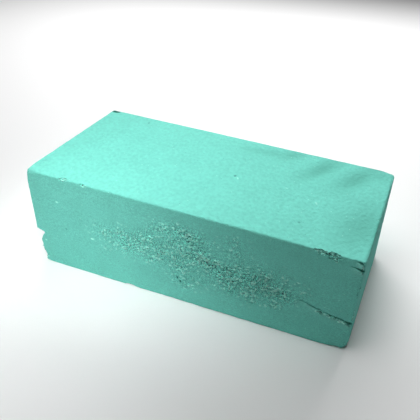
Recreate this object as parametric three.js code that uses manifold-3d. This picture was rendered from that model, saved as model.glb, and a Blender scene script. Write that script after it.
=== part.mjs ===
// Floral foam brick: one block of dry, rigid, open-celled phenolic foam, the kind that is
// soaked in water and then holds cut stems.
//
// Millimetres, +Z up. +X runs along the brick, -Y is its front, and the origin is the middle
// of the footprint, on the surface that the brick stands on.

import * as THREE from "three";
import { RoundedBoxGeometry } from "three/addons/geometries/RoundedBoxGeometry.js";
import { mergeVertices } from "three/addons/utils/BufferGeometryUtils.js";
import Module from "manifold-3d";

// The sawn block.
const LENGTH = 230;
const WIDTH = 106;
const HEIGHT = 75;
const EDGE_RADIUS = 1.5;
const EDGE_SEGMENTS = 4;

// How far each corner strays from a true block, as [along X, along Y]. The saw leaves the
// block slightly out of square, while the top and the bottom stay flat and level.
const OUT_OF_SQUARE = {
  bottom: {
    frontLeft: [1.2, -1.8],
    frontRight: [0, 1.8],
    backLeft: [0.8, 0.6],
    backRight: [0, 0],
  },
  top: {
    frontLeft: [-1.7, -0.3],
    frontRight: [0, -0.4],
    backLeft: [1.2, 1],
    backRight: [0.2, -0.4],
  },
};

// The crack low on the right of the front face: [x, z, opening] along it, from its hairline
// end to the corner. It gets deeper towards the corner.
const LONG_CRACK = [
  [80, 35.2, 0.15],
  [89, 30.2, 0.3],
  [94, 28.9, 0.5],
  [107, 25.9, 0.9],
  [118, 23.6, 1.4],
];
const LONG_CRACK_DEPTH = 9;

// The short crack under the front right corner of the top.
const SHORT_CRACK = [
  [110, 67.2, 0.2],
  [113, 66.8, 0.8],
  [118, 66.2, 1.3],
];
const SHORT_CRACK_DEPTH = 4;

// The notch in the front left edge, seen from the front as [x, z], and the shallow strip
// worn off the edge below it.
const NOTCH = [
  [-120, 28.2],
  [-115, 28],
  [-111.4, 26.6],
  [-110.5, 25.2],
  [-111, 22.6],
  [-113.6, 16.4],
  [-113.1, 2],
  [-112.8, -2],
  [-120, -2],
];
const NOTCH_DEPTH = 13;

// Where foam has broken out of the edges and corners: each chip is an ellipsoid that bites
// into the block, given by its middle, its half sizes and its turn about Y in degrees.
const CHIPS = [
  { at: [-88, -55, 76.2], half: [4.2, 2.6, 2.4], turn: -8 },
  { at: [-72.4, -54.6, 75.6], half: [2.6, 1.6, 1.7], turn: 0 },
  { at: [92.5, -55.2, 76], half: [7.4, 3.4, 3.2], turn: 6 },
  { at: [114.5, -54.4, 75.8], half: [3.2, 2.4, 2.2], turn: 20 },
  { at: [-113.6, 54.4, 75.6], half: [3.4, 2.6, 2], turn: 0 },
  { at: [-38.9, -54.3, -0.6], half: [4.6, 1.8, 1.8], turn: 4 },
];
const CHIP_DETAIL = 2;

// How far a cutter starts in front of the block.
const CLEARANCE = 3;

const wasm = await Module();
wasm.setup();

/** Turns a closed three.js geometry into a solid. */
function solidOf(geometry) {
  const bare = geometry.clone();
  bare.deleteAttribute("normal");
  bare.deleteAttribute("uv");
  const merged = mergeVertices(bare, 1e-4);
  return new wasm.Manifold(
    new wasm.Mesh({
      numProp: 3,
      vertProperties: merged.getAttribute("position").array,
      triVerts: new Uint32Array(merged.index.array),
    }),
  );
}

/** Turns a solid back into a three.js geometry with flat facets. */
function geometryOf(solid) {
  const mesh = solid.getMesh();
  const shared = new THREE.BufferGeometry();
  shared.setAttribute(
    "position",
    new THREE.BufferAttribute(mesh.vertProperties, 3),
  );
  shared.setIndex(new THREE.BufferAttribute(mesh.triVerts, 1));
  const geometry = shared.toNonIndexed();
  geometry.computeVertexNormals();
  return geometry;
}

/** Blends the offsets of one level's four corners at a point given as shares 0 to 1. */
function blendCorners(level, shareX, shareY, axis) {
  const front = THREE.MathUtils.lerp(
    level.frontLeft[axis],
    level.frontRight[axis],
    shareX,
  );
  const back = THREE.MathUtils.lerp(
    level.backLeft[axis],
    level.backRight[axis],
    shareX,
  );
  return THREE.MathUtils.lerp(front, back, shareY);
}

/** The sawn block, with slightly rounded edges, standing on z = 0. */
function sawnBlock() {
  const block = new RoundedBoxGeometry(
    LENGTH,
    WIDTH,
    HEIGHT,
    EDGE_SEGMENTS,
    EDGE_RADIUS,
  );
  block.translate(0, 0, HEIGHT / 2);
  const position = block.getAttribute("position");
  const point = new THREE.Vector3();
  for (let i = 0; i < position.count; i += 1) {
    point.fromBufferAttribute(position, i);
    const shareX = point.x / LENGTH + 0.5;
    const shareY = point.y / WIDTH + 0.5;
    const shareZ = point.z / HEIGHT;
    const [dx, dy] = [0, 1].map((axis) =>
      THREE.MathUtils.lerp(
        blendCorners(OUT_OF_SQUARE.bottom, shareX, shareY, axis),
        blendCorners(OUT_OF_SQUARE.top, shareX, shareY, axis),
        shareZ,
      ),
    );
    position.setXYZ(i, point.x + dx, point.y + dy, point.z);
  }
  return block;
}

/** A flat outline in the front plane, pushed back into the block by depth. */
function frontCutter(outline, depth) {
  const shape = new THREE.Shape(outline.map(([x, z]) => new THREE.Vector2(x, z)));
  const cutter = new THREE.ExtrudeGeometry(shape, {
    depth: depth + CLEARANCE,
    bevelEnabled: false,
  });
  // The outline is drawn in X and Y, so it is stood up to face -Y.
  cutter.rotateX(Math.PI / 2);
  cutter.translate(0, -WIDTH / 2 + depth, 0);
  return cutter;
}

/** A crack that opens and deepens from its first point to its last. */
function crackCutter(line, depth) {
  const upper = line.map(([x, z, opening]) => [x, z + opening / 2]);
  const lower = line.map(([x, z, opening]) => [x, z - opening / 2]).reverse();
  const cutter = frontCutter([...upper, ...lower], 0);
  cutter.translate(0, WIDTH / 2, 0);
  const startX = line[0][0];
  const endX = line.at(-1)[0];
  const position = cutter.getAttribute("position");
  for (let i = 0; i < position.count; i += 1) {
    const share = (position.getX(i) - startX) / (endX - startX);
    const isBack = position.getY(i) > -CLEARANCE / 2;
    const reach = isBack ? depth * share : 0;
    position.setY(i, position.getY(i) + reach - WIDTH / 2);
  }
  return cutter;
}

/** The notch: its outline pushed back, fading out inside the block. */
function notchCutter() {
  const reach = new THREE.IcosahedronGeometry(1, CHIP_DETAIL);
  reach.scale(12, NOTCH_DEPTH, 36);
  reach.translate(-LENGTH / 2, -WIDTH / 2, 14);
  return solidOf(frontCutter(NOTCH, NOTCH_DEPTH)).intersect(solidOf(reach));
}

/** One ellipsoid chip. */
function chipCutter({ at, half, turn }) {
  const chip = new THREE.IcosahedronGeometry(1, CHIP_DETAIL);
  chip.scale(...half);
  chip.rotateY(THREE.MathUtils.degToRad(turn));
  chip.translate(...at);
  return solidOf(chip);
}

/** The whole brick as one closed geometry, centred over the origin. */
function foamBrickGeometry() {
  const cutters = [
    notchCutter(),
    solidOf(crackCutter(LONG_CRACK, LONG_CRACK_DEPTH)),
    solidOf(crackCutter(SHORT_CRACK, SHORT_CRACK_DEPTH)),
    ...CHIPS.map(chipCutter),
  ];
  const solid = cutters.reduce(
    (block, cutter) => block.subtract(cutter),
    solidOf(sawnBlock()),
  );
  const geometry = geometryOf(solid);
  geometry.computeBoundingBox();
  const middle = geometry.boundingBox.getCenter(new THREE.Vector3());
  geometry.translate(-middle.x, -middle.y, -geometry.boundingBox.min.z);
  return geometry;
}

const dryFoam = new THREE.MeshStandardMaterial({
  color: 0x7fe0cf,
  roughness: 0.95,
  metalness: 0,
});

const foamBrick = new THREE.Mesh(foamBrickGeometry(), dryFoam);
foamBrick.name = "foam_brick";

const floralFoamBrick = new THREE.Group();
floralFoamBrick.add(foamBrick);

export default floralFoamBrick;
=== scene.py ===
"""Looks of a dry floral foam brick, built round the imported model.

The brick is one sawn block of rigid phenolic foam. Its mesh starts as a cube, is cut into
cells, and is then worn the way such a brick is: rounded edges, chips, cracks and a band of
torn cells across the front. Lengths are in millimetres until the mesh is finished. +X runs
along the brick, -Y is its front, +Z is up and the brick stands on z = 0.
"""

import logging
import math
import random
from collections.abc import Callable, Iterable
from dataclasses import astuple, dataclass
from enum import Enum

import bmesh
import bpy
from mathutils import Euler, Matrix, Quaternion, Vector, noise


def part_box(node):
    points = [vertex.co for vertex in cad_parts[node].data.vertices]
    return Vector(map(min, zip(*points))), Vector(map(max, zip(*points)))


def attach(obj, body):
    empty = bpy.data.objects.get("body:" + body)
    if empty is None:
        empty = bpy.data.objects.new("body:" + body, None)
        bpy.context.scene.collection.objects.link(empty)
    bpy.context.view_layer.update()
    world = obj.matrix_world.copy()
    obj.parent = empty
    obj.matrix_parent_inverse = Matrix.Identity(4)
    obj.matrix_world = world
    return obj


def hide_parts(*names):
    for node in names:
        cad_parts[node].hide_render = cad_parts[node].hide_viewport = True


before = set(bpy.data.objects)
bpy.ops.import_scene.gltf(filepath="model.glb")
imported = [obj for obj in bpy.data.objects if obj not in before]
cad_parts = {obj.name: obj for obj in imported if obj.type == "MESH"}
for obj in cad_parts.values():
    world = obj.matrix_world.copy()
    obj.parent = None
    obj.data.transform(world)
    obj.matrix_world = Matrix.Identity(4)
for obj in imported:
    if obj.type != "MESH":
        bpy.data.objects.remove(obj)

LOG = logging.getLogger("foam_brick")

Pair = tuple[float, float]
Triple = tuple[float, float, float]

MM = 0.001
"""One millimetre in metres."""

NODE = "foam_brick"
"""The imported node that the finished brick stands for."""

"""The record's material slot of the foam."""

PIECE = "sawn_foam_brick"
"""The name of the finished brick."""

SHELF_STEP = 4.0
"""The width, in millimetres, of the steps along X that chips are sorted by."""

TOUCHING = 0.01
"""How near two places must be, in millimetres, to count as the same."""

RIM = 4.5
"""The width, in millimetres, of the finely divided strip along every edge of the block."""

SKEW = 1.7
"""Keeps a seed from shifting a pattern alike along X and Y."""


def smooth_step(low: float, high: float, value: float) -> float:
    """Gives a share that rises smoothly from 0 where value is low to 1 where it is high."""
    share = min(1.0, max(0.0, (value - low) / (high - low)))
    return share * share * (3.0 - 2.0 * share)


def mix(start: float, end: float, share: float) -> float:
    """Goes from start to end by a share from 0 to 1."""
    return start + (end - start) * share


class Pattern(Enum):
    """The noise patterns of the wear: the width of a lump, in millimetres, and a seed."""

    UNEVEN_EDGE = (7.0, 3.1)
    RAGGED_EDGE = (2.0, 8.2)
    BROKEN = (1.7, 5.5)
    FINELY_BROKEN = (0.8, 9.5)
    BORDER = (9.0, 1.3)
    FINE_BORDER = (4.0, 2.9)
    CURLED_WALL = (1.35, 1.7)
    STANDING_WALL = (1.7, 5.7)
    TORN_OUT = (2.0, 10.7)
    CRUMB = (0.9, 6.1)
    SAW_WAVE = (34.0, 0.4)

    def at(self, point: Vector, layer: float = 0.0) -> float:
        """Reads the pattern.

        Args:
            point: the place to read, in millimetres.
            layer: what is added to the seed for another layer of the same pattern.

        Returns:
            The noise there, from about -1 to 1.
        """
        size, seed = self.value
        seed += layer
        return noise.noise(point / size + Vector((seed, seed * SKEW, -seed)))


def turned_reach(right: float, up: float, turn: float, long: float, short: float) -> float:
    """How far out a place lies in a turned ellipse.

    Args:
        right: how far right of the middle it is.
        up: how far up from the middle.
        turn: the ellipse's turn, in degrees.
        long: its half length.
        short: its half width.

    Returns:
        The square of its share of the way out: 0 in the middle, 1 on the rim.
    """
    angle = math.radians(turn)
    one = (right * math.cos(angle) + up * math.sin(angle)) / long
    two = (up * math.cos(angle) - right * math.sin(angle)) / short
    return one * one + two * two


def linear(hex_code: str) -> tuple[float, float, float, float]:
    """Turns an sRGB colour into the linear one that shaders take.

    Args:
        hex_code: the colour as RRGGBB.

    Returns:
        Linear red, green, blue and an alpha of 1.
    """
    channels = [int(hex_code[i : i + 2], 16) / 255 for i in (0, 2, 4)]
    red, green, blue = (
        c / 12.92 if c <= 0.04045 else ((c + 0.055) / 1.055) ** 2.4 for c in channels
    )
    return red, green, blue, 1.0


def add_node(
    tree: bpy.types.NodeTree,
    kind: str,
    inputs: dict[str | int, object] | None = None,
    **settings: object,
) -> bpy.types.Node:
    """Adds a shader node with its settings, values and links.

    Args:
        tree: the node tree to add it to.
        kind: the node's type name, such as ShaderNodeTexNoise.
        inputs: for each input, by name or number, a value or the socket that feeds it.
        **settings: properties of the node itself.

    Returns:
        The new node.
    """
    made = tree.nodes.new(kind)
    for name, value in settings.items():
        setattr(made, name, value)
    for name, value in (inputs or {}).items():
        if isinstance(value, bpy.types.NodeSocket):
            tree.links.new(value, made.inputs[name])
        else:
            made.inputs[name].default_value = value
    return made


# ---- The block and its wear ----


class Axis(Enum):
    """The three directions of the block."""

    LENGTH = 0
    WIDTH = 1
    HEIGHT = 2


class Face(Enum):
    """A side of the block that carries marks, by the way it looks."""

    FRONT = (0, -1, 0)
    RIGHT = (1, 0, 0)
    TOP = (0, 0, 1)

    @property
    def out(self) -> Vector:
        """The direction that the face looks in."""
        return Vector(self.value)

    @property
    def along(self) -> int:
        """The axis that runs along the face."""
        return Axis.WIDTH.value if self is Face.RIGHT else Axis.LENGTH.value

    @property
    def across(self) -> int:
        """The axis that runs across the face."""
        return Axis.WIDTH.value if self is Face.TOP else Axis.HEIGHT.value

    def place(self, along: float, across: float) -> Vector:
        """Turns a place on the face into one in space, leaving out how far out it lies.

        Args:
            along: the place along the face.
            across: the place across it.

        Returns:
            The point in space.
        """
        places = {self.along: along, self.across: across}
        return Vector(places.get(axis.value, 0.0) for axis in Axis)

    def holds(self, point: Vector, reach: Vector) -> bool:
        """Whether a point lies on this face of a sharp block that reaches as far as reach."""
        level = sum(abs(o) * r for o, r in zip(self.value, reach, strict=True))
        return point.dot(self.out) > level - TOUCHING


@dataclass(frozen=True)
class GradedSide:
    """How a side of the block is divided: fine cells at both rims, coarser ones between."""

    length: float
    core_cells: int
    rim_cells: int = 9

    @property
    def cells(self) -> int:
        """The number of cells from end to end."""
        return self.core_cells + 2 * self.rim_cells

    def place(self, share: float) -> float:
        """Moves an evenly spaced cell line to its graded place.

        Args:
            share: the even place, from 0 to 1.

        Returns:
            The graded place, in millimetres from the middle.
        """
        line = share * self.cells
        core = self.length - 2 * RIM
        if line <= self.rim_cells:
            at = line / self.rim_cells * RIM
        elif line <= self.rim_cells + self.core_cells:
            at = RIM + (line - self.rim_cells) / self.core_cells * core
        else:
            past = line - self.rim_cells - self.core_cells
            at = RIM + core + past / self.rim_cells * RIM
        return at - self.length / 2


@dataclass(frozen=True)
class OutOfSquare:
    """How far each corner strays from a true block, as (along X, along Y)."""

    bottom_front_left: Pair = (1.5, -3.9)
    bottom_front_right: Pair = (0.0, 1.2)
    bottom_back_left: Pair = (0.8, 0.6)
    bottom_back_right: Pair = (0.0, 0.0)
    top_front_left: Pair = (-2.9, -0.3)
    top_front_right: Pair = (0.0, -0.4)
    top_back_left: Pair = (1.2, 1.0)
    top_back_right: Pair = (0.2, -0.4)

    def shift(self, x: float, y: float, z: float) -> Vector:
        """Blends the corners' shifts.

        Args:
            x: share of the length, 0 at the left.
            y: share of the width, 0 at the front.
            z: share of the height, 0 at the bottom.

        Returns:
            The shift at that place, in millimetres.
        """
        total = Vector((0.0, 0.0, 0.0))
        for level, share_z in (("bottom", 1 - z), ("top", z)):
            for depth, share_y in (("front", 1 - y), ("back", y)):
                for end, share_x in (("left", 1 - x), ("right", x)):
                    dx, dy = getattr(self, f"{level}_{depth}_{end}")
                    total += Vector((dx, dy, 0.0)) * share_x * share_y * share_z
        return total


@dataclass(frozen=True)
class Edge:
    """One edge of the block: the axis it runs along, its middle, and its worn radius."""

    axis: Axis
    middle: Vector
    radius: float


@dataclass(frozen=True)
class WornEdges:
    """How round handling has made each edge of the sawn block, as radii."""

    top_front: float = 1.0
    top_back: float = 1.1
    top_left: float = 1.6
    top_right: float = 1.8
    upright_front_left: float = 1.5
    upright_front_right: float = 2.2
    upright_back_left: float = 1.8
    upright_back_right: float = 4.6
    bottom: float = 1.1
    bottom_right: float = 3.0
    # The corners that are blunter than the edges they end, each by the way it points.
    corners: tuple[tuple[tuple[int, int, int], float], ...] = (
        ((-1, -1, 1), 3.0),
        ((-1, -1, -1), 2.6),
        ((1, -1, -1), 5.2),
        ((1, 1, 1), 3.2),
    )
    # How far an edge still sets the radius, and how softly it gives way to the next one.
    reach: float = 8.0
    softness: float = 0.3
    # How far a blunt corner reaches, in multiples of its own radius.
    corner_reach: float = 3.0
    # How much the radius varies, broadly and finely.
    uneven: float = 0.28
    ragged: float = 0.24

    def edges(self, half: Vector) -> list[Edge]:
        """Lists the twelve edges.

        Args:
            half: half of the block's length, width and height.

        Returns:
            The edges, measured from the block's middle.
        """
        placed = (
            (Axis.LENGTH, (0, -1, 1), self.top_front),
            (Axis.LENGTH, (0, 1, 1), self.top_back),
            (Axis.LENGTH, (0, -1, -1), self.bottom),
            (Axis.LENGTH, (0, 1, -1), self.bottom),
            (Axis.WIDTH, (-1, 0, 1), self.top_left),
            (Axis.WIDTH, (1, 0, 1), self.top_right),
            (Axis.WIDTH, (-1, 0, -1), self.bottom),
            (Axis.WIDTH, (1, 0, -1), self.bottom_right),
            (Axis.HEIGHT, (-1, -1, 0), self.upright_front_left),
            (Axis.HEIGHT, (1, -1, 0), self.upright_front_right),
            (Axis.HEIGHT, (-1, 1, 0), self.upright_back_left),
            (Axis.HEIGHT, (1, 1, 0), self.upright_back_right),
        )
        return [Edge(axis, Vector(side) * half, radius) for axis, side, radius in placed]

    def round(self, point: Vector, half: Vector, edges: list[Edge]) -> Vector:
        """Moves a point of the sharp block onto its worn, rounded edge.

        Args:
            point: a place on the sharp block, measured from its middle.
            half: half of the block's length, width and height.
            edges: what edges() gives.

        Returns:
            The place on the worn block.
        """
        weight = 0.0
        radius = 0.0
        for edge in edges:
            away = point - edge.middle
            away[edge.axis.value] = 0.0
            distance = away.length
            if distance < self.reach:
                share = 1.0 / (distance + self.softness) ** 2
                weight += share
                radius += share * edge.radius
        if weight == 0.0:
            return point
        radius /= weight
        for side, blunt in self.corners:
            gap = (point - Vector(side) * half).length
            radius = mix(radius, blunt, smooth_step(self.corner_reach * blunt, blunt, gap))
        uneven = self.uneven * Pattern.UNEVEN_EDGE.at(point)
        radius *= 1.0 + uneven + self.ragged * Pattern.RAGGED_EDGE.at(point)
        core = Vector(
            min(h - radius, max(radius - h, c)) for c, h in zip(point, half, strict=True)
        )
        return core + (point - core).normalized() * radius


@dataclass(frozen=True)
class Chip:
    """Foam broken out in the shape of an ellipsoid whose middle lies just outside."""

    at: Triple
    half: Triple
    turn: Triple = (0.0, 0.0, 0.0)
    rough: float = 0.12
    # How strong the finer pattern of its roughness is beside the coarser one.
    fine_share: float = 0.7
    # The share of its size over which the broken surface sets in.
    fade: float = 0.2

    @property
    def spin(self) -> Matrix:
        """The chip's turn, from degrees about X, Y and Z."""
        return Euler([math.radians(a) for a in self.turn]).to_matrix()

    def near(self, point: Vector, margin: float) -> bool:
        """Whether a point lies within the chip's reach.

        Args:
            point: a place on the brick.
            margin: how far outside still counts.

        Returns:
            True if it does.
        """
        reach = max(self.half) + margin
        return all(abs(c - a) < reach for c, a in zip(point, self.at, strict=True)) and all(
            abs(c) < h + margin
            for c, h in zip(
                self.spin.transposed() @ (point - Vector(self.at)), self.half, strict=True
            )
        )

    def bite(self, point: Vector) -> tuple[Vector, float]:
        """Pushes a point that the chip took away onto the broken surface.

        Args:
            point: a place on the brick.

        Returns:
            Its new place, and from 0 to 1 how far inside the chip it was.
        """
        if not self.near(point, 0.0):
            return point, 0.0
        spin, half = self.spin, Vector(self.half)
        local = spin.transposed() @ (point - Vector(self.at))
        scaled = Vector(c / h for c, h in zip(local, half, strict=True))
        broken = Pattern.BROKEN.at(point) + self.fine_share * Pattern.FINELY_BROKEN.at(point)
        size = scaled.length
        edge = 1.0 + self.rough * broken
        if size >= edge:
            return point, 0.0
        pushed = scaled * (edge / size) * half
        return Vector(self.at) + spin @ pushed, smooth_step(0.0, self.fade, 1.0 - size / edge)


@dataclass(frozen=True)
class CrumbledEdge:
    """A stretch of an edge that many small crumbs have broken from."""

    start: Triple
    end: Triple
    crumbs: int
    size: float
    seed: int
    stray: float = 0.4
    # How far a crumb's place along the edge, its size and its turn in degrees vary.
    places: Pair = (0.1, 0.9)
    sizes: Pair = (0.6, 1.4)
    turns: Pair = (-40.0, 40.0)
    rough: float = 0.2

    def chips(self) -> list[Chip]:
        """Breaks the crumbs out, each at its own place and in its own size.

        Returns:
            One chip for each crumb.
        """
        draw = random.Random(self.seed)
        made = []
        for i in range(self.crumbs):
            share = (i + draw.uniform(*self.places)) / self.crumbs
            at = Vector(self.start).lerp(Vector(self.end), share)
            at += Vector(draw.uniform(-self.stray, self.stray) for _ in Axis)
            half = [draw.uniform(*self.sizes) * self.size for _ in Axis]
            turn = [draw.uniform(*self.turns) for _ in Axis]
            made.append(Chip(tuple(at), tuple(half), tuple(turn), self.rough))
        return made


@dataclass(frozen=True)
class CrackPoint:
    """One point of a crack: where it is on its face, how open and how deep."""

    along: float
    across: float
    opening: float
    depth: float

    def blend(self, other: "CrackPoint", share: float) -> "CrackPoint":
        """Finds the point that lies a share of the way from this one to another."""
        own, others = astuple(self), astuple(other)
        return CrackPoint(*(mix(a, b, share) for a, b in zip(own, others, strict=True)))


@dataclass(frozen=True)
class Crack:
    """A crack that runs along a face."""

    face: Face
    points: tuple[CrackPoint, ...]
    step: float = 2.0
    wander: float = 0.5
    # How often the crack bends, in bends to a millimetre.
    bends: float = 0.45
    lip: float = 0.35
    lip_width: float = 2.5
    # How much steeper its walls are than those of a plain V.
    steepness: float = 1.15
    # How far past its lips it still counts, so that the mesh lines on them belong to it.
    past_lip: float = 1e-4
    # How far to either side mesh lines are cut at all, cut across it, and cut along it.
    window_reach: float = 4.0
    across_reach: float = 3.0
    along_reach: float = 2.0
    # A mesh line this near to a cut is moved onto it.
    snap: float = 0.03
    seed: float = 0.0

    def line(self) -> list[CrackPoint]:
        """Walks along the crack in short steps that wander a little, as torn foam does.

        Returns:
            The points of the walk.
        """
        walked = []
        for start, end in zip(self.points, self.points[1:]):
            steps = max(1, round(abs(end.along - start.along) / self.step))
            for i in range(steps):
                point = start.blend(end, i / steps)
                bend = Vector((point.along * self.bends, self.seed, 0.0))
                sway = self.wander * noise.noise(bend)
                walked.append(
                    CrackPoint(point.along, point.across + sway, point.opening, point.depth)
                )
        walked.append(self.points[-1])
        return walked

    def near(self, point: Vector, start: CrackPoint, end: CrackPoint, reach: float) -> bool:
        """Whether a point lies by one step of the crack.

        Args:
            point: a place on the crack's face.
            start: the step's first point.
            end: its last point.
            reach: how far to either side still counts.

        Returns:
            True if it does.
        """
        low, high = sorted((start.across, end.across))
        along, across = point[self.face.along], point[self.face.across]
        return start.along <= along <= end.along and low - reach <= across <= high + reach

    def score(self, bm: bmesh.types.BMesh, reach: Vector) -> None:
        """Cuts mesh lines along the crack's middle and both lips.

        Args:
            bm: the brick's mesh, still sharp.
            reach: half the block's length, half its width, and its height.
        """
        face = self.face
        line = self.line()
        window = set()
        for candidate in bm.faces:
            centre = candidate.calc_center_median()
            if face.holds(centre, reach) and self.near(centre, line[0], line[-1], self.window_reach):
                window.add(candidate)
        # Each cut is a test of which faces it goes through, then its plane's place and normal.
        cuts: list[tuple[Callable[[Vector], bool], Vector, Vector]] = []
        for point in line:
            there = face.place(point.along, point.across)
            cuts.append((lambda c, at=there: self.beside(c, at), there, face.place(1.0, 0.0)))
        for start, end in zip(line, line[1:]):
            for side in (-0.5, 0.0, 0.5):
                low = face.place(start.along, start.across + side * start.opening)
                high = face.place(end.along, end.across + side * end.opening)
                run = high - low
                normal = face.place(-run[face.across], run[face.along]).normalized()
                cuts.append(
                    (lambda c, a=start, b=end: self.near(c, a, b, self.along_reach), low, normal)
                )
        for inside, place, normal in cuts:
            faces = [f for f in window if inside(f.calc_center_median())]
            if faces:
                edges = {e for f in faces for e in f.edges}
                verts = {v for f in faces for v in f.verts}
                geom = [*verts, *edges, *faces]
                made = bmesh.ops.bisect_plane(
                    bm, geom=geom, dist=self.snap, plane_co=place, plane_no=normal
                )
                window.update(g for g in made["geom"] if isinstance(g, bmesh.types.BMFace))

    def beside(self, centre: Vector, there: Vector) -> bool:
        """Whether a face's middle is near enough to a point of the crack to be cut across."""
        flat = self.face.place(centre[self.face.along], centre[self.face.across])
        return (flat - there).length < self.across_reach

    def sink(self, point: Vector, line: list[CrackPoint]) -> Pair:
        """How deep the crack is at a point, and how much its lower lip stands out.

        Args:
            point: a place on the crack's face.
            line: what line() gives.

        Returns:
            The depth, and the height of the lip, in millimetres.
        """
        along, across = point[self.face.along], point[self.face.across]
        if not line[0].along <= along <= line[-1].along:
            return 0.0, 0.0
        for start, end in zip(line, line[1:]):
            if along <= end.along:
                here = start.blend(end, (along - start.along) / (end.along - start.along))
                below = here.across - across
                inside = 1.0 - abs(below) / (here.opening / 2 + self.past_lip)
                if inside > 0.0:
                    return here.depth * min(1.0, inside * self.steepness), 0.0
                if below > 0.0:
                    rise = self.lip * min(1.0, here.opening)
                    return 0.0, rise * math.exp(-below / self.lip_width)
                return 0.0, 0.0
        return 0.0, 0.0


@dataclass(frozen=True)
class TornPatch:
    """A patch of torn foam on the front, as an ellipse in X and Z with its strength."""

    x: float
    z: float
    wide: float
    high: float
    strength: float


@dataclass(frozen=True)
class TornBand:
    """Patches where the front's cells are torn open, ragged at their borders."""

    patches: tuple[TornPatch, ...]
    # Past this square of its size, a patch tears nothing.
    patch_reach: float = 5.0
    # Where all the patches together tear less than this, the front stays smooth.
    least: float = 0.02
    # How ragged the border of the tearing is, broadly and finely.
    ragged: Pair = (0.3, 0.4)
    # The totals at which tearing sets in and is complete.
    rise: Pair = (-0.1, 1.25)
    # How much longer than high the torn cells are.
    stretch: float = 1.3
    # The noise above which walls stand and cells are torn out: barely and fully torn.
    rarest: float = 0.5
    densest: float = 0.12
    wall_fade: float = 0.12
    hole_fade: float = 0.2
    # The noise at a wall's middle and at its foot, and at a hole's rim and at its floor.
    wall_slope: Pair = (0.04, 0.3)
    hole_slope: Pair = (0.2, 0.5)
    # The shifts of the two layers of walls and holes.
    layers: Pair = (0.0, 10.6)
    # How high a wall stands and how deep a hole is, and how strong the painted highlight on a wall
    # and the painted shade in a hole are.
    wall: float = 0.9
    hole: float = 0.6
    wall_highlight: float = 0.85
    hole_shade: float = 0.3
    # How torn the foam is where walls and holes have their full height.
    full_height: float = 0.25

    def amount(self, point: Vector) -> float:
        """How torn the front is.

        Args:
            point: a place on the front face.

        Returns:
            A share from 0, sawn smooth, to 1, torn.
        """
        total = 0.0
        for patch in self.patches:
            dx = (point.x - patch.x) / patch.wide
            dz = (point.z - patch.z) / patch.high
            reach = dx * dx + dz * dz
            if reach < self.patch_reach:
                total += patch.strength * math.exp(-reach)
        if total < self.least:
            return 0.0
        broad, fine = self.ragged
        ragged = broad * Pattern.BORDER.at(point) + fine * Pattern.FINE_BORDER.at(point)
        return smooth_step(*self.rise, total * (1.0 + ragged))

    def relief(self, point: Vector, amount: float) -> Pair:
        """The walls left standing round torn cells, and the holes between them.

        Args:
            point: a place on the front face.
            amount: what amount() gives there.

        Returns:
            How much wall there is and how much hole, as shares from 0 to 1.
        """
        wall = 0.0
        hole = 0.0
        rarity = mix(self.rarest, self.densest, amount)
        drawn = Vector((point.x / self.stretch, point.y, point.z))
        for layer in self.layers:
            curl = Pattern.CURLED_WALL.at(drawn, layer)
            standing = Pattern.STANDING_WALL.at(drawn, layer)
            left = smooth_step(rarity, rarity + self.wall_fade, standing)
            wall = max(wall, (1.0 - smooth_step(*self.wall_slope, abs(curl))) * left)
            loose = Pattern.TORN_OUT.at(drawn, layer)
            torn_out = smooth_step(rarity, rarity + self.hole_fade, loose)
            hole = max(hole, smooth_step(*self.hole_slope, curl) * torn_out)
        return wall, hole * (1.0 - wall)


@dataclass(frozen=True)
class Mark:
    """A crumb that clings to a face, or a pit in it, as a turned ellipse."""

    face: Face
    along: float
    across: float
    long: float
    short: float
    height: float
    turn: float = 0.0

    def share(self, point: Vector) -> float:
        """How much of the mark's height a point has.

        Args:
            point: a place on the mark's face.

        Returns:
            A share from 0, outside it, to 1 in its middle.
        """
        right = point[self.face.along] - self.along
        up = point[self.face.across] - self.across
        return max(0.0, 1.0 - turned_reach(right, up, self.turn, self.long, self.short))


@dataclass(frozen=True)
class Hollow:
    """A shallow dent that a fingertip left in the top, as a turned ellipse; a painted shadow streak
    is laid in it.
    """

    x: float
    y: float
    long: float
    short: float
    turn: float
    depth: float

    def share(self, point: Vector) -> float:
        """How much of its depth, from 0 to 1, the dent has at a place on the top."""
        right, up = point.x - self.x, point.y - self.y
        return math.exp(-turned_reach(right, up, self.turn, self.long, self.short))


# ---- The finish ----


class WearAndPaintedLight(Enum):
    """What the mesh tells the finish about each point, as the names of its attributes: how torn the
    foam is, and the pale colour, painted highlight, painted shade and painted shadow laid on it.
    """

    TORN = "torn"
    # Pale colour: paler torn crumbs, and painted highlight on standing walls, crack lips and crumbs.
    PALE = "pale"
    # Painted shade in cracks, holes, pits and the gaps of broken surfaces.
    DARK = "dark"
    # Painted shadow streaks in the shallow dents of the top.
    PRESSED = "pressed"


@dataclass(frozen=True)
class Spots:
    """Small round spots scattered over the foam."""

    # Millimetres from one possible spot to the next, and a spot's radius as a share of that.
    spacing_mm: float
    radius: float
    # The share of the possible spots that are left out, and what a spot's middle gives.
    rarity: float
    strength: float

    def share(
        self, tree: bpy.types.NodeTree, place: bpy.types.NodeSocket
    ) -> bpy.types.NodeSocket:
        """Adds the spots' nodes.

        Args:
            tree: the material's nodes.
            place: the coordinates to read.

        Returns:
            The strength in a spot's middle, fading to 0 at its rim.
        """
        scale = 1 / (self.spacing_mm * MM)
        cell = add_node(tree, "ShaderNodeTexVoronoi", {"Vector": place, "Scale": scale})
        picks = add_node(tree, "ShaderNodeSeparateColor", {"Color": cell.outputs["Color"]})
        picked = add_node(
            tree,
            "ShaderNodeMath",
            {0: picks.outputs["Red"], 1: self.rarity},
            operation="GREATER_THAN",
        )
        spot = add_node(
            tree,
            "ShaderNodeMapRange",
            {
                "Value": cell.outputs["Distance"],
                "From Min": self.radius / 2,
                "From Max": self.radius,
                "To Min": self.strength,
                "To Max": 0.0,
            },
        )
        both = {0: spot.outputs["Result"], 1: picked.outputs["Value"]}
        return add_node(tree, "ShaderNodeMath", both, operation="MULTIPLY").outputs["Value"]


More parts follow.
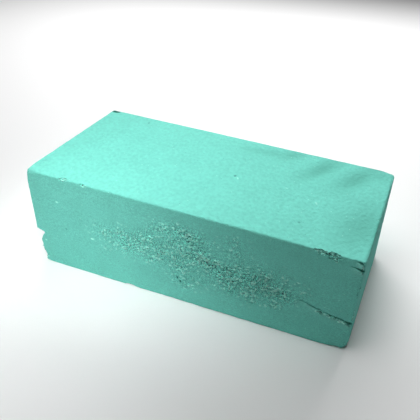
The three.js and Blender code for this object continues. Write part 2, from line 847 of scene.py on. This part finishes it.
@dataclass(frozen=True)
class DryPhenolicFoam:
    """Dry phenolic foam, foamed as a slab and sawn: dead matt, pale sea green, with the
    fine grain of cut open cells, painted highlight where cell walls stand up and painted shade in
    holes."""

    name: str = "dry_phenolic_foam"
    sawn: str = "72CEBF"
    # Pale colour of torn crumbs, also used as painted highlight on standing walls, crack lips and
    # glints.
    pale: str = "B4FAEC"
    # Painted shade in cracks, holes, pits and pinholes.
    hole: str = "357A6D"
    # Painted shadow streaks in the shallow dents of the top.
    pressed: str = "5CAE9F"
    roughness: float = 0.95
    ior: float = 1.45
    specular: float = 0.2
    # The real cells are 0.1 to 0.2 mm across, too fine to show, so they are drawn coarser.
    cell_mm: Triple = (2.3, 3.0, 0.65)
    torn_cell_mm: Triple = (0.7, 0.7, 0.5)
    mottle_mm: Triple = (14.0, 14.0, 14.0)
    # How many finer layers the noise of the sawn cells, the torn ones and the mottling has.
    details: Triple = (2.0, 0.0, 3.0)
    # The part of a noise that is used, and how far each one swings the colour's strength.
    noise_span: Pair = (0.3, 0.7)
    mottle_swing: float = 0.03
    sawn_swing: float = 0.065
    torn_swing: float = 0.85
    # How deep the relief of the sawn cells is, how much of it shows, and how deep torn
    # cells are.
    sawn_depth_mm: float = 0.75
    sawn_relief: float = 0.9
    torn_depth_mm: float = 1.0
    # Painted shade for cells that were cut through, and painted glints for walls that stand up and
    # catch the light.
    shaded_pinholes: Spots = Spots(spacing_mm=3.12, radius=0.14, rarity=0.94, strength=0.5)
    glint_flecks: Spots = Spots(spacing_mm=2.4, radius=0.2, rarity=0.9, strength=0.45)

    def material(self) -> bpy.types.Material:
        """Builds the foam's material.

        Returns:
            The material, which reads Object coordinates and the mesh's own attributes.
        """
        made = bpy.data.materials.new(self.name)
        made.use_nodes = True
        tree = made.node_tree
        tree.nodes.clear()
        place = add_node(tree, "ShaderNodeTexCoord").outputs["Object"]
        wear = {
            kind: add_node(tree, "ShaderNodeAttribute", attribute_name=kind.value).outputs["Fac"]
            for kind in WearAndPaintedLight
        }
        sizes = (self.cell_mm, self.torn_cell_mm, self.mottle_mm)
        cells, torn_cells, mottle = (
            self.cell_noise(tree, place, size, detail)
            for size, detail in zip(sizes, self.details, strict=True)
        )
        colour = self.grained(tree, (mottle, cells, torn_cells), wear[WearAndPaintedLight.TORN])
        # Tints laid over the grain: painted shadow in the top's dents, painted shade in cracks,
        # holes, pits and pinholes, and pale colour with painted highlight on walls, lips, crumbs and
        # glints.
        for share, tint in (
            (wear[WearAndPaintedLight.PRESSED], self.pressed),
            (wear[WearAndPaintedLight.DARK], self.hole),
            (self.shaded_pinholes.share(tree, place), self.hole),
            (wear[WearAndPaintedLight.PALE], self.pale),
            (self.glint_flecks.share(tree, place), self.pale),
        ):
            colour = add_node(
                tree,
                "ShaderNodeMix",
                {0: share, 6: colour, 7: linear(tint)},
                data_type="RGBA",
                clamp_factor=True,
            ).outputs[2]
        sawn = {"Strength": self.sawn_relief, "Distance": self.sawn_depth_mm * MM}
        grain = add_node(tree, "ShaderNodeBump", {**sawn, "Height": cells})
        torn = {"Strength": wear[WearAndPaintedLight.TORN], "Distance": self.torn_depth_mm * MM}
        relief = add_node(
            tree,
            "ShaderNodeBump",
            {**torn, "Height": torn_cells, "Normal": grain.outputs["Normal"]},
        )
        shader = add_node(
            tree,
            "ShaderNodeBsdfPrincipled",
            {
                "Base Color": colour,
                "Roughness": self.roughness,
                "IOR": self.ior,
                "Specular IOR Level": self.specular,
                "Normal": relief.outputs["Normal"],
            },
        )
        add_node(tree, "ShaderNodeOutputMaterial", {"Surface": shader.outputs["BSDF"]})
        return made

    @staticmethod
    def cell_noise(
        tree: bpy.types.NodeTree,
        place: bpy.types.NodeSocket,
        size: Triple,
        detail: float,
    ) -> bpy.types.NodeSocket:
        """Makes the noise of cells or of mottling.

        Args:
            tree: the material's nodes.
            place: the coordinates to read.
            size: how long, wide and high a cell is, in millimetres.
            detail: how many finer layers the noise has.

        Returns:
            The noise, about 0.5 in its middle.
        """
        scale = [1 / (side * MM) for side in size]
        sized = add_node(tree, "ShaderNodeMapping", {"Vector": place, "Scale": scale})
        inputs = {"Vector": sized.outputs["Vector"], "Scale": 1.0, "Detail": detail}
        return add_node(tree, "ShaderNodeTexNoise", inputs).outputs["Fac"]

    def grained(
        self,
        tree: bpy.types.NodeTree,
        noises: tuple[bpy.types.NodeSocket, bpy.types.NodeSocket, bpy.types.NodeSocket],
        torn: bpy.types.NodeSocket,
    ) -> bpy.types.NodeSocket:
        """Gives the plain colour its broad mottling and its fine grain.

        Args:
            tree: the material's nodes.
            noises: the noise of the mottling, of the sawn cells and of the torn cells.
            torn: how torn the foam is.

        Returns:
            The colour.
        """
        low, high = self.noise_span
        swings = ((1.0, self.mottle_swing), (0.0, self.sawn_swing), (0.0, self.torn_swing))
        broad, sawn, frayed = (
            add_node(
                tree,
                "ShaderNodeMapRange",
                {
                    "Value": source,
                    "From Min": low,
                    "From Max": high,
                    "To Min": middle - swing,
                    "To Max": middle + swing,
                },
            ).outputs["Result"]
            for source, (middle, swing) in zip(noises, swings, strict=True)
        )
        grain = add_node(
            tree, "ShaderNodeMath", {0: frayed, 1: torn, 2: sawn}, operation="MULTIPLY_ADD"
        )
        both = {0: broad, 1: grain.outputs["Value"]}
        strength = add_node(tree, "ShaderNodeMath", both, operation="ADD")
        plain = add_node(tree, "ShaderNodeRGB")
        plain.outputs["Color"].default_value = linear(self.sawn)
        scaled = {0: plain.outputs["Color"], "Scale": strength.outputs["Value"]}
        return add_node(tree, "ShaderNodeVectorMath", scaled, operation="SCALE").outputs["Vector"]


# ---- The brick ----


@dataclass
class Worn:
    """A point of the worn brick: its place and what the finish needs to know of it."""

    place: Vector
    wear: dict[WearAndPaintedLight, float]

    def raise_to(self, kind: WearAndPaintedLight, value: float) -> None:
        """Makes a kind of wear or painted light at least as strong as value."""
        self.wear[kind] = max(self.wear[kind], value)


@dataclass(frozen=True)
class Halving:
    """One halving of the mesh's cells: how torn the foam is there, or how near they are to a
    chip or a mark, or to a crack, and whether chips on the fine rim count."""

    torn: float
    margin: float
    side: float
    on_rim: bool = True


@dataclass(frozen=True)
class Tints:
    """How strongly wear, painted shade, painted shadow and painted highlight tint the foam, as
    shares from 0 to 1.
    """

    # Painted shade in a crack, growing with its depth.
    crack: float = 0.7
    # How deep a crack is, in millimetres, where the tint would be 1.
    crack_depth: float = 2.0
    # Painted highlight along a crack's raised lower lip.
    lip: float = 0.3
    # A mark's tint for each millimetre of its height: pale with painted highlight on a raised crumb,
    # painted shade in a pit.
    mark: float = 2.0
    # Painted shadow streaks in the shallow dents of the top.
    pressed: float = 0.85
    # The pale crumbs of a broken surface, partly painted highlight, and the painted shade in its
    # gaps, and the noise they start and end at.
    crumb: float = 0.9
    crumb_rise: Pair = (-0.05, 0.3)
    gap: float = 0.8
    gap_rise: Pair = (0.08, 0.4)
    # The front was cut with a coarser saw than the top, so it all counts as a little torn.
    sawn_front: float = 0.12


@dataclass
class FoamBrick:
    """The whole brick: its sawn block, its wear and its finish."""

    length: float = 230.0
    width: float = 106.0
    height: float = 75.0
    core_cells: tuple[int, int, int] = (84, 34, 28)
    square: OutOfSquare = OutOfSquare()
    rounding: WornEdges = WornEdges()
    finish: DryPhenolicFoam = DryPhenolicFoam()
    tints: Tints = Tints()
    # The saw leaves each face a little wavy.
    wave: float = 0.12
    halvings: tuple[Halving, ...] = (
        Halving(torn=0.05, margin=1.5, side=3.0),
        Halving(torn=0.16, margin=0.8, side=2.2),
        Halving(torn=0.42, margin=0.2, side=1.4, on_rim=False),
    )
    # Crumbs no larger than this need no finer cells.
    least_chip: float = 1.6
    # Points nearer than this are merged.
    weld: float = 0.04
    # Facets that meet at more than this, in degrees, keep their crease.
    crease: float = 50.0
    crumbled: tuple[CrumbledEdge, ...] = (
        CrumbledEdge(
            (115.2, -52.4, 25), (115.2, -53.2, 64), crumbs=24, size=1.0, seed=3, stray=0.9
        ),
        CrumbledEdge(
            (114.0, -53.8, 67), (114.6, -54.0, 74), crumbs=10, size=1.2, seed=12, stray=0.9
        ),
        CrumbledEdge((86.0, -54.1, 75.0), (100.0, -54.1, 73.2), crumbs=14, size=1.5, seed=8),
        CrumbledEdge(
            (92.0, -52.6, 27.8), (113.6, -52.2, 23.2), crumbs=24, size=0.95, seed=10, stray=0.6
        ),
        CrumbledEdge((-108.0, -54.0, 75.7), (84.0, -54.0, 75.7), crumbs=26, size=0.9, seed=5),
        CrumbledEdge((-110.0, -55.7, -0.3), (106.0, -51.9, -0.3), crumbs=24, size=1.1, seed=6),
        CrumbledEdge((-108.0, 54.3, 75.7), (110.0, 53.2, 75.7), crumbs=16, size=1.0, seed=7),
        CrumbledEdge((115.6, -48.0, 75.4), (115.6, 48.0, 75.4), crumbs=9, size=1.2, seed=9),
    )
    chips: tuple[Chip, ...] = (
        # The notch in the front left edge, and the strip worn off below it.
        Chip(at=(-116.3, -56.2, 22.0), half=(6.6, 30.0, 3.2), turn=(-36.5, 0, 44)),
        Chip(at=(-116.6, -56.8, 21.2), half=(5.4, 30.0, 6.5), turn=(-36.5, 0, 44)),
        Chip(at=(-118.1, -58.6, 13.6), half=(7.1, 30.0, 7.0), turn=(-36.5, 0, 44)),
        Chip(at=(-116.4, -61.7, 4.1), half=(9.6, 30.0, 13.0), turn=(-36.5, 0, 44)),
        # The flake and the ding on the front edge of the top, towards the left.
        Chip(at=(-87.5, -54.6, 76.3), half=(4.4, 4.0, 3.3), turn=(0, -6, 0), rough=0.25),
        Chip(at=(-72.0, -54.7, 75.9), half=(3.4, 3.0, 3.0), rough=0.3),
        # The crumbled stretch of the same edge, towards the right.
        Chip(at=(89.5, -55.9, 75.0), half=(6.0, 4.2, 4.6), turn=(0, 4, 0), rough=0.25),
        Chip(at=(96.5, -55.9, 73.6), half=(6.6, 4.0, 5.0), turn=(0, 22, 0), rough=0.25),
        # The step in the front edge of the base.
        Chip(at=(-39.0, -54.8, -0.6), half=(4.8, 2.6, 2.4), turn=(0, 4, 0)),
    )
    cracks: tuple[Crack, ...] = (
        # The long crack low on the right of the front, and its end round the corner.
        Crack(
            Face.FRONT,
            (
                CrackPoint(78.0, 33.4, 0.2, 0.4),
                CrackPoint(87.0, 31.2, 0.8, 1.6),
                CrackPoint(93.0, 29.4, 1.1, 2.6),
                CrackPoint(97.0, 28.4, 0.7, 2.0),
                CrackPoint(103.0, 26.6, 1.7, 4.5),
                CrackPoint(108.0, 26.2, 1.3, 4.5),
                CrackPoint(115.0, 24.6, 2.5, 7.0),
            ),
            step=1.3,
            wander=1.3,
            seed=4.0,
        ),
        Crack(
            Face.RIGHT,
            (CrackPoint(-53.0, 24.6, 1.5, 3.0), CrackPoint(-41.0, 23.4, 0.15, 0.2)),
            lip=0.0,
            seed=4.5,
        ),
        # The short crack under the front right corner, and the one round the crumb above it.
        Crack(
            Face.FRONT,
            (
                CrackPoint(106.5, 69.6, 0.2, 0.4),
                CrackPoint(111.0, 69.0, 1.2, 2.8),
                CrackPoint(115.0, 67.4, 2.3, 5.5),
            ),
            step=1.3,
            wander=0.9,
            seed=9.0,
        ),
        Crack(
            Face.RIGHT,
            (CrackPoint(-53.0, 67.6, 1.4, 2.4), CrackPoint(-48.5, 67.2, 0.2, 0.2)),
            step=1.5,
            lip=0.0,
            seed=9.5,
        ),
        Crack(
            Face.FRONT,
            (
                CrackPoint(109.4, 73.6, 0.3, 0.6),
                CrackPoint(111.6, 73.8, 1.3, 2.4),
                CrackPoint(113.6, 73.0, 1.3, 2.6),
                CrackPoint(115.0, 70.6, 1.1, 2.6),
            ),
            step=1.0,
            lip=0.5,
            seed=2.0,
        ),
    )
    band: TornBand = TornBand(
        patches=(
            TornPatch(-40, 45, 16, 9, 0.45),
            TornPatch(-28, 33, 18, 9, 0.4),
            TornPatch(-20, 48, 14, 10, 0.45),
            TornPatch(-6, 60, 15, 6, 0.45),
            TornPatch(10, 60, 12, 6, 0.4),
            TornPatch(10, 50, 13, 8, 0.4),
            TornPatch(-8, 38, 14, 10, 0.5),
            TornPatch(15, 42, 10, 7, 0.5),
            TornPatch(24, 37, 11, 7, 0.55),
            TornPatch(36, 37, 11, 8, 0.6),
            TornPatch(46, 33, 11, 8, 0.6),
            TornPatch(58, 35, 10, 8, 0.6),
            TornPatch(69, 32, 10, 8, 0.65),
            TornPatch(40, 56, 14, 8, 0.4),
            TornPatch(62, 47, 14, 8, 0.4),
            TornPatch(5, 26, 12, 9, 0.55),
            TornPatch(0, 16, 12, 6, 0.4),
            TornPatch(30, 24, 16, 8, 0.45),
            TornPatch(56, 22, 16, 7, 0.45),
            TornPatch(36, 64, 9, 5, 0.35),
            TornPatch(-62, 38, 14, 12, 0.2),
            TornPatch(86, 38, 8, 10, 0.25),
            TornPatch(0, 46, 16, 12, 0.3),
            TornPatch(-45, 34, 20, 14, 0.2),
            TornPatch(50, 44, 24, 12, 0.2),
        )
    )
    marks: tuple[Mark, ...] = (
        Mark(Face.FRONT, -92.4, 55.4, 1.3, 0.7, 0.6, -5),
        Mark(Face.FRONT, -67.4, 32.5, 1.7, 0.8, 0.7, 3),
        Mark(Face.FRONT, 79.1, 45.9, 1.6, 0.6, 0.5, -5),
        Mark(Face.FRONT, -108.1, 19.4, 1.1, 0.8, 0.5, 0),
        Mark(Face.FRONT, -88.5, 34.3, 1.2, 1.1, -0.25, 0),
        Mark(Face.FRONT, -2.9, 20.5, 0.8, 1.3, -0.8, 20),
        Mark(Face.FRONT, -0.7, 17.9, 0.9, 1.2, -0.8, 0),
        Mark(Face.TOP, -111.2, 50.9, 4.0, 2.2, -1.5, 5),
        Mark(Face.TOP, 15.1, 1.1, 1.2, 1.2, -0.45, 0),
        Mark(Face.TOP, 18.0, -1.5, 1.8, 0.8, 0.3, -60),
        Mark(Face.TOP, 51.6, 1.0, 1.3, 0.8, 0.25, 0),
        Mark(Face.TOP, 74.2, -7.6, 2.2, 0.8, 0.28, -60),
        Mark(Face.TOP, 70.2, -32.1, 1.0, 1.0, -0.25, 0),
        Mark(Face.TOP, -77.0, 44.7, 1.1, 1.1, -0.35, 0),
    )
    hollows: tuple[Hollow, ...] = (
        Hollow(22, 41, 18, 5, 4, 0.6),
        Hollow(42, 45, 12, 6, 40, 0.8),
        Hollow(67, 36, 20, 6.5, 60, 1.0),
        Hollow(92, 33, 20, 7.5, 64, 1.0),
        Hollow(106, 44, 9, 8, 0, 0.6),
        Hollow(107, -20, 24, 13, 80, 0.8),
    )

    @property
    def half(self) -> Vector:
        """Half of the block's length, width and height."""
        return Vector((self.length, self.width, self.height)) / 2

    @property
    def reach(self) -> Vector:
        """Half the length, half the width, and the height."""
        return Vector((self.length / 2, self.width / 2, self.height))

    def all_chips(self) -> list[Chip]:
        """The large chips, then the crumbs of the crumbled edges."""
        return [*self.chips, *(chip for edge in self.crumbled for chip in edge.chips())]

    def chip_shelf(self, least: float, margin: float) -> dict[int, list[Chip]]:
        """Sorts the chips by where they are along the brick, so that few need a look.

        Args:
            least: chips no larger than this are left out, in millimetres.
            margin: how far past a chip it still counts.

        Returns:
            For each step of SHELF_STEP along X, the chips that reach it.
        """
        shelf: dict[int, list[Chip]] = {}
        for chip in self.all_chips():
            reach = max(chip.half) + margin
            if min(chip.half) > least:
                first, last = (int((chip.at[0] + side) // SHELF_STEP) for side in (-reach, reach))
                for step in range(first, last + 1):
                    shelf.setdefault(step, []).append(chip)
        return shelf

    def saw_block(self) -> bmesh.types.BMesh:
        """Makes the sharp block, divided into cells and standing on z = 0.

        Returns:
            The mesh, in millimetres.
        """
        bm = bmesh.new()
        bmesh.ops.create_cube(bm, size=1.0)
        sides = [
            GradedSide(side, cells)
            for side, cells in zip(self.half * 2, self.core_cells, strict=True)
        ]
        for axis in Axis:
            run = [
                e for e in bm.edges if abs((e.verts[0].co - e.verts[1].co)[axis.value]) > TOUCHING
            ]
            bmesh.ops.subdivide_edges(
                bm, edges=run, cuts=sides[axis.value].cells - 1, use_grid_fill=True
            )
        for vert in bm.verts:
            vert.co = Vector(
                side.place(c + 0.5) for side, c in zip(sides, vert.co, strict=True)
            )
        bmesh.ops.translate(bm, vec=(0, 0, self.height / 2), verts=bm.verts)
        return bm

    def refine_wear(self, bm: bmesh.types.BMesh) -> None:
        """Makes the mesh fine enough wherever the foam is torn, chipped or cracked.

        Args:
            bm: the brick's mesh, still sharp.
        """
        shelf = self.chip_shelf(self.least_chip, max(h.margin for h in self.halvings))
        for halving in self.halvings:
            chosen = [f for f in bm.faces if self.is_worn(f.calc_center_median(), halving, shelf)]
            bmesh.ops.subdivide_edges(
                bm,
                edges=list({e for f in chosen for e in f.edges}),
                cuts=1,
                use_grid_fill=True,
                use_single_edge=True,
            )

    def is_worn(self, centre: Vector, halving: Halving, shelf: dict[int, list[Chip]]) -> bool:
        """Whether a cell lies where the foam is torn, cracked, marked or chipped.

        Args:
            centre: the cell's middle on the sharp block.
            halving: how near counts.
            shelf: what chip_shelf() gives.

        Returns:
            True if it does.
        """
        faces = [face for face in Face if face.holds(centre, self.reach)]
        if Face.FRONT in faces and self.band.amount(centre) > halving.torn:
            return True
        if any(
            crack.face in faces and crack.near(centre, start, end, halving.side)
            for crack in self.cracks
            for start, end in zip(crack.points, crack.points[1:])
        ):
            return True
        if any(
            mark.face in faces
            and abs(centre[mark.face.along] - mark.along) < mark.long + halving.margin
            and abs(centre[mark.face.across] - mark.across) < mark.long + halving.margin
            for mark in self.marks
        ):
            return True
        return (halving.on_rim or not self.is_on_rim(centre)) and any(
            chip.near(centre, halving.margin) for chip in shelf.get(centre.x // SHELF_STEP, ())
        )

    def is_on_rim(self, centre: Vector) -> bool:
        """Whether a place is near two or more sides, on one of the finely divided rims."""
        from_middle = centre - Vector((0, 0, self.half.z))
        return sum(abs(c) > h - RIM for c, h in zip(from_middle, self.half, strict=True)) > 1

    def worn(
        self,
        flat: Vector,
        edges: list[Edge],
        shelf: dict[int, list[Chip]],
        lines: list[list[CrackPoint]],
    ) -> Worn:
        """Finds where a point of the sharp block lies on the worn one.

        Args:
            flat: the point on the sharp block.
            edges: the block's edges.
            shelf: what chip_shelf() gives.
            lines: the walked line of each crack.

        Returns:
            Its new place and its wear.
        """
        tints = self.tints
        middle = Vector((0, 0, self.half.z))
        faces = [face for face in Face if face.holds(flat, self.reach)]
        place = self.rounding.round(flat - middle, self.half, edges) + middle
        place += self.square.shift(
            flat.x / self.length + 0.5, flat.y / self.width + 0.5, flat.z / self.height
        )
        point = Worn(place, dict.fromkeys(WearAndPaintedLight, 0.0))
        if Face.FRONT in faces:
            self.tear(flat, point)
        for crack, line in zip(self.cracks, lines, strict=True):
            if crack.face in faces:
                depth, lip = crack.sink(flat, line)
                point.place += crack.face.out * (lip - depth)
                # Painted shade in the crack, and painted highlight on its raised lower lip.
                point.raise_to(WearAndPaintedLight.DARK, min(tints.crack, depth / tints.crack_depth))
                point.raise_to(WearAndPaintedLight.PALE, min(tints.lip, lip))
        for mark in self.marks:
            if mark.face in faces:
                share = mark.share(flat)
                point.place += mark.face.out * mark.height * share
                # A raised crumb is made pale, partly painted highlight; a pit gets painted shade.
                kind = WearAndPaintedLight.PALE if mark.height > 0 else WearAndPaintedLight.DARK
                point.raise_to(kind, min(1.0, share * abs(mark.height) * tints.mark))
        if Face.TOP in faces:
            for hollow in self.hollows:
                share = hollow.share(flat)
                point.place.z -= hollow.depth * share
                # Painted shadow streak laid in the dent.
                point.raise_to(WearAndPaintedLight.PRESSED, tints.pressed * share * min(1.0, hollow.depth))
        self.ripple(flat, point)
        for chip in shelf.get(point.place.x // SHELF_STEP, ()):
            point.place, inside = chip.bite(point.place)
            if inside > 0.0:
                # Pale crumbs, partly painted highlight, and painted shade in the gaps of the broken
                # surface.
                crumb = Pattern.CRUMB.at(flat)
                light = smooth_step(*tints.crumb_rise, crumb)
                gap = smooth_step(*tints.gap_rise, -crumb)
                point.raise_to(WearAndPaintedLight.TORN, inside)
                point.raise_to(WearAndPaintedLight.PALE, tints.crumb * inside * light)
                point.raise_to(WearAndPaintedLight.DARK, tints.gap * inside * gap)
        point.place.z = max(0.0, point.place.z)
        return point

    def tear(self, flat: Vector, point: Worn) -> None:
        """Tears the front's cells open at one point.

        Args:
            flat: the point on the sharp block.
            point: the same point, worn.
        """
        band = self.band
        torn = band.amount(flat)
        point.raise_to(WearAndPaintedLight.TORN, max(torn, self.tints.sawn_front))
        if torn > 0.0:
            wall, hole = band.relief(flat, torn)
            strong = smooth_step(0.0, band.full_height, torn)
            point.place.y -= strong * (band.wall * wall - band.hole * hole)
            # Painted highlight on the standing walls and painted shade in the holes.
            point.raise_to(WearAndPaintedLight.PALE, band.wall_highlight * strong * wall)
            point.raise_to(WearAndPaintedLight.DARK, band.hole_shade * strong * hole)

    def ripple(self, flat: Vector, point: Worn) -> None:
        """Moves one point inwards by the saw's waves.

        Args:
            flat: the point on the sharp block.
            point: the same point, worn.
        """
        deep = self.wave * (Pattern.SAW_WAVE.at(flat) + 1.0)
        from_middle = flat - Vector((0, 0, self.half.z))
        for axis in Axis:
            off = from_middle[axis.value]
            on_side = abs(off) > self.half[axis.value] - TOUCHING
            if on_side and not (axis is Axis.HEIGHT and off < 0):
                point.place[axis.value] -= math.copysign(deep, off)

    def wear_down(self, bm: bmesh.types.BMesh) -> None:
        """Moves the mesh's points from the sharp block to the worn one.

        Args:
            bm: the brick's mesh, still sharp.
        """
        layers = {kind: bm.verts.layers.float.new(kind.value) for kind in WearAndPaintedLight}
        edges = self.rounding.edges(self.half)
        shelf = self.chip_shelf(0.0, 0.0)
        lines = [crack.line() for crack in self.cracks]
        for vert in bm.verts:
            point = self.worn(vert.co.copy(), edges, shelf, lines)
            vert.co = point.place
            for kind, layer in layers.items():
                vert[layer] = point.wear[kind]

    def settle(self, bm: bmesh.types.BMesh) -> None:
        """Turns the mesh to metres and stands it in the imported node's box.

        Args:
            bm: the brick's mesh, in millimetres.
        """
        low, high = (Vector(corner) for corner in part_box(NODE))
        bmesh.ops.scale(bm, vec=(MM, MM, MM), verts=bm.verts)
        xs = [v.co.x for v in bm.verts]
        ys = [v.co.y for v in bm.verts]
        own = Vector(((min(xs) + max(xs)) / 2, (min(ys) + max(ys)) / 2, 0.0))
        there = Vector(((low.x + high.x) / 2, (low.y + high.y) / 2, low.z))
        bmesh.ops.translate(bm, vec=there - own, verts=bm.verts)

    def build(self) -> bpy.types.Object:
        """Builds the brick's object from its sawn block.

        Returns:
            The object, in metres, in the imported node's place.
        """
        bm = self.saw_block()
        self.refine_wear(bm)
        for crack in self.cracks:
            crack.score(bm, self.reach)
        bmesh.ops.remove_doubles(bm, verts=bm.verts, dist=self.weld)
        bmesh.ops.recalc_face_normals(bm, faces=bm.faces)
        self.wear_down(bm)
        self.settle(bm)
        mesh = bpy.data.meshes.new(PIECE)
        bm.to_mesh(mesh)
        bm.free()
        mesh.shade_smooth()
        mesh.set_sharp_from_angle(angle=math.radians(self.crease))
        made = bpy.data.objects.new(PIECE, mesh)
        bpy.context.scene.collection.objects.link(made)
        return made

    def dress(self, made: bpy.types.Object) -> None:
        """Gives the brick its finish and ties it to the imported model.

        Args:
            made: what build() gives.
        """
        made.data.materials.append(self.finish.material())
        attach(made, "root")
        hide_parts(NODE)


# ---- The studio ----


def set_up(data: bpy.types.ID, at: Vector, back: Vector, roll: float = 0.0) -> bpy.types.Object:
    """Stands a camera or a light in the scene.

    Args:
        data: the camera or the light.
        at: its place, in millimetres.
        back: the way its back looks.
        roll: how far it is rolled, in degrees.

    Returns:
        Its object.
    """
    made = bpy.data.objects.new(data.name, data)
    made.location = at * MM
    made.rotation_mode = "QUATERNION"
    level = back.to_track_quat("Z", "Y")
    made.rotation_quaternion = level @ Quaternion((0, 0, 1), math.radians(roll))
    bpy.context.scene.collection.objects.link(made)
    return made


@dataclass(frozen=True)
class Viewpoint:
    """The camera, by where it aims and from which side; lengths in millimetres."""

    aim: Triple = (7.45, 2.4, 40.98)
    azimuth: float = 21.45
    elevation: float = 35.45
    roll: float = 2.17
    distance: float = 403.1
    nearest: float = 10.0
    lens: float = 47.87
    shift: Pair = (-0.0286, 0.0071)

    def place(self) -> None:
        """Makes the scene's camera."""
        data = bpy.data.cameras.new("camera")
        data.lens = self.lens
        data.shift_x, data.shift_y = self.shift
        data.clip_start = self.nearest * MM
        around, up = math.radians(self.azimuth), math.radians(self.elevation)
        level = math.cos(up)
        back = Vector((math.sin(around) * level, -math.cos(around) * level, math.sin(up)))
        at = Vector(self.aim) + back * self.distance
        bpy.context.scene.camera = set_up(data, at, back, self.roll)


@dataclass(frozen=True)
class Softbox:
    """A rectangular softbox; lengths in millimetres, spread in degrees."""

    name: str
    at: Triple
    aim: Triple
    size: Pair
    watts: float
    spread: float = 180.0

    def place(self) -> None:
        """Makes the softbox."""
        data = bpy.data.lights.new(self.name, "AREA")
        data.shape = "RECTANGLE"
        data.size, data.size_y = (side * MM for side in self.size)
        data.energy = self.watts
        data.spread = math.radians(self.spread)
        set_up(data, Vector(self.at), Vector(self.at) - Vector(self.aim))


@dataclass(frozen=True)
class Studio:
    """The pale floor, the softboxes and the dim surroundings."""

    floor_colour: str = "F7F7F7"
    # How far the floor reaches to each side, in metres.
    floor_reach: float = 20.0
    surroundings: float = 0.02
    softboxes: tuple[Softbox, ...] = (
        Softbox("back", (-150, 600, 450), (0, 0, 50), (900, 350), 5.75),
        Softbox("overhead", (0, -150, 600), (0, 0, 50), (300, 300), 1.55),
        Softbox("near_overhead", (0, 100, 350), (0, 0, 50), (300, 300), 0.25),
        Softbox("gridded_key", (-130, -330, 360), (-70, -53, 30), (100, 100), 0.066, 35),
    )

    def floor(self) -> None:
        """Makes the floor, which is not part of the brick."""
        bm = bmesh.new()
        bmesh.ops.create_grid(bm, x_segments=1, y_segments=1, size=self.floor_reach)
        mesh = bpy.data.meshes.new("floor")
        bm.to_mesh(mesh)
        bm.free()
        made = bpy.data.objects.new("floor", mesh)
        bpy.context.scene.collection.objects.link(made)
        # Rolled matt paint: it has no highlight, so it shows only the brick's soft shadow.
        paint = bpy.data.materials.new("matt_floor_paint")
        paint.use_nodes = True
        shader = paint.node_tree.nodes["Principled BSDF"]
        shader.inputs["Base Color"].default_value = linear(self.floor_colour)
        shader.inputs["Roughness"].default_value = 1.0
        shader.inputs["Specular IOR Level"].default_value = 0.0
        mesh.materials.append(paint)

    def sky(self) -> None:
        """Makes the dim surroundings."""
        world = bpy.data.worlds.new("surroundings")
        world.use_nodes = True
        background = world.node_tree.nodes["Background"]
        background.inputs["Color"].default_value = (1.0, 1.0, 1.0, 1.0)
        background.inputs["Strength"].default_value = self.surroundings
        bpy.context.scene.world = world

    def build(self) -> None:
        """Builds the floor, the softboxes and the surroundings."""
        self.floor()
        for softbox in self.softboxes:
            softbox.place()
        self.sky()
        bpy.context.scene.view_settings.view_transform = "Standard"


def main() -> None:
    """Builds the brick, its studio and its camera."""
    logging.basicConfig(level=logging.INFO, format="%(name)s: %(message)s")
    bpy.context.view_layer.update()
    Viewpoint().place()
    Studio().build()
    brick = FoamBrick()
    made = brick.build()
    brick.dress(made)
    triangles = sum(len(p.vertices) - 2 for p in made.data.polygons)
    LOG.info("%s: %d triangles", made.name, triangles)
    bpy.context.view_layer.update()


if __name__ == "__main__":
    main()
